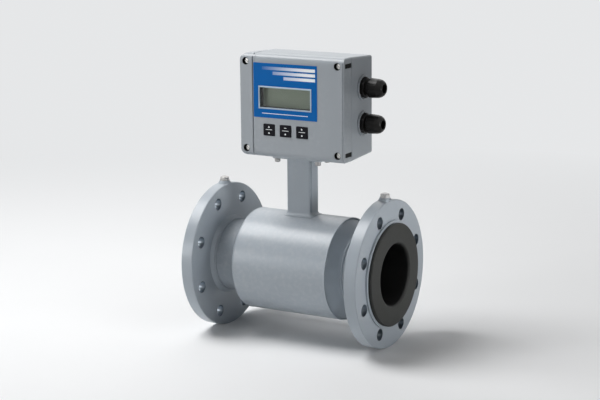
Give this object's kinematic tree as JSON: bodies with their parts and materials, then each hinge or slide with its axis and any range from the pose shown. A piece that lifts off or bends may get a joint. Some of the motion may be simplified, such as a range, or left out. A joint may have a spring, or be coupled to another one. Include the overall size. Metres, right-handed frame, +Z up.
{
  "type": "electromagnetic flow meter",
  "caption": "Flanged electromagnetic flow meter: a lined measuring tube in a welded coil drum, with a boxy converter housing, hinged door, display and keys on a neck above it.",
  "frame": {"origin": "middle of the flow bore, on its axis", "axes": "+X along the flow towards the outlet flange, +Z up towards the converter housing, and the display faces -Y"},
  "size_m": [0.31, 0.22, 0.428],
  "materials": {
    "body_paint": "semi-gloss grey enamel over steel, light orange peel, lightly worn at the edges",
    "housing_paint": "semi-gloss grey powder coat on die-cast aluminium",
    "neck_plate_paint": "grey enamel",
    "tube_steel": "stainless steel tube, painted outside",
    "liner_rubber": "matt black hard rubber with a fine turned face",
    "zinc_steel": "bright zinc-plated fastener",
    "stainless_screw": "stainless fastener",
    "washer_steel": "bright zinc-plated washer",
    "pin_steel": "ground stainless pin",
    "iron_core": "soft iron",
    "coil_wire": "copper winding under clear varnish tape",
    "electrode_metal": "polished acid-proof steel",
    "bush_plastic": "natural white insulating plastic",
    "gasket_rubber": "matt black rubber",
    "label_foil": "blue printed foil",
    "bezel_plastic": "pale grey moulded plastic",
    "window_pane": "clear pane",
    "shroud_plastic": "matt black plastic",
    "lcd_glass": "grey-green liquid crystal cell, switched off",
    "circuit_board": "green solder mask",
    "chip_plastic": "black moulded packages",
    "switch_plastic": "black switches",
    "key_plastic": "black moulded key caps with a small white mark",
    "transformer_resin": "dark blue potting",
    "terminal_plastic": "green terminal plastic",
    "relay_plastic": "white relay covers",
    "capacitor_foil": "dark blue sleeve",
    "keeper_plastic": "black plastic screw keepers",
    "gland_plastic": "matt black polyamide",
    "locknut_metal": "nickel-plated brass"
  },
  "bodies": {
    "meter": {"capacitors": "capacitor_foil", "coil_drum": "body_paint", "coil_yoke": "iron_core", "converter_housing": "housing_paint", "door_gasket": "gasket_rubber", "earth_screws": "zinc_steel", "earth_washers": "washer_steel", "electrode_bushes": "bush_plastic", "electrode_nuts": "zinc_steel", "electrodes": "electrode_metal", "gland_locknuts": "locknut_metal", "hinge_pins": "pin_steel", "hinge_strip": "housing_paint", "inlet_end_plate": "body_paint", "inlet_flange": "body_paint", "liner": "liner_rubber", "lower_coil": "coil_wire", "lower_gland_body": "gland_plastic", "lower_gland_nut": "gland_plastic", "lower_gland_seal": "gasket_rubber", "lower_gland_washer": "gasket_rubber", "lower_pole_core": "iron_core", "main_board": "circuit_board", "main_board_screws": "stainless_screw", "measuring_tube": "tube_steel", "neck": "body_paint", "neck_gasket": "gasket_rubber", "neck_plate": "neck_plate_paint", "neck_screws": "zinc_steel", "neck_washers": "washer_steel", "outlet_end_plate": "body_paint", "outlet_flange": "body_paint", "power_terminals": "terminal_plastic", "power_transformer": "transformer_resin", "relays": "relay_plastic", "signal_terminals": "terminal_plastic", "strip_screws": "stainless_screw", "terminal_screws": "stainless_screw", "upper_coil": "coil_wire", "upper_gland_body": "gland_plastic", "upper_gland_nut": "gland_plastic", "upper_gland_seal": "gasket_rubber", "upper_gland_washer": "gasket_rubber", "upper_pole_core": "iron_core"},
    "door": {"door": "housing_paint", "door_screws": "stainless_screw", "screw_keepers": "keeper_plastic", "front_label": "label_foil", "display_bezel": "bezel_plastic", "display_window": "window_pane", "display_shroud": "shroud_plastic", "display_cell": "lcd_glass", "display_board": "circuit_board", "display_board_screws": "stainless_screw", "display_board_chips": "chip_plastic", "key_switches": "switch_plastic"},
    "left_key": {"left_key": "key_plastic"},
    "middle_key": {"middle_key": "key_plastic"},
    "right_key": {"right_key": "key_plastic"}
  },
  "joints": [
    {"name": "door_hinge", "type": "hinge", "parent": "meter", "child": "door", "pos_m": [-0.0543, -0.0435, 0.242], "axis": [0, 0, -1], "range_deg": [0, 105]},
    {"name": "left_key_press", "type": "slide", "parent": "door", "child": "left_key", "axis": [0, 1, 0], "range_m": [0, 0.0012], "stiffness_N_per_m": 1500},
    {"name": "middle_key_press", "type": "slide", "parent": "door", "child": "middle_key", "axis": [0, 1, 0], "range_m": [0, 0.0012], "stiffness_N_per_m": 1500},
    {"name": "right_key_press", "type": "slide", "parent": "door", "child": "right_key", "axis": [0, 1, 0], "range_m": [0, 0.0012], "stiffness_N_per_m": 1500}
  ]
}
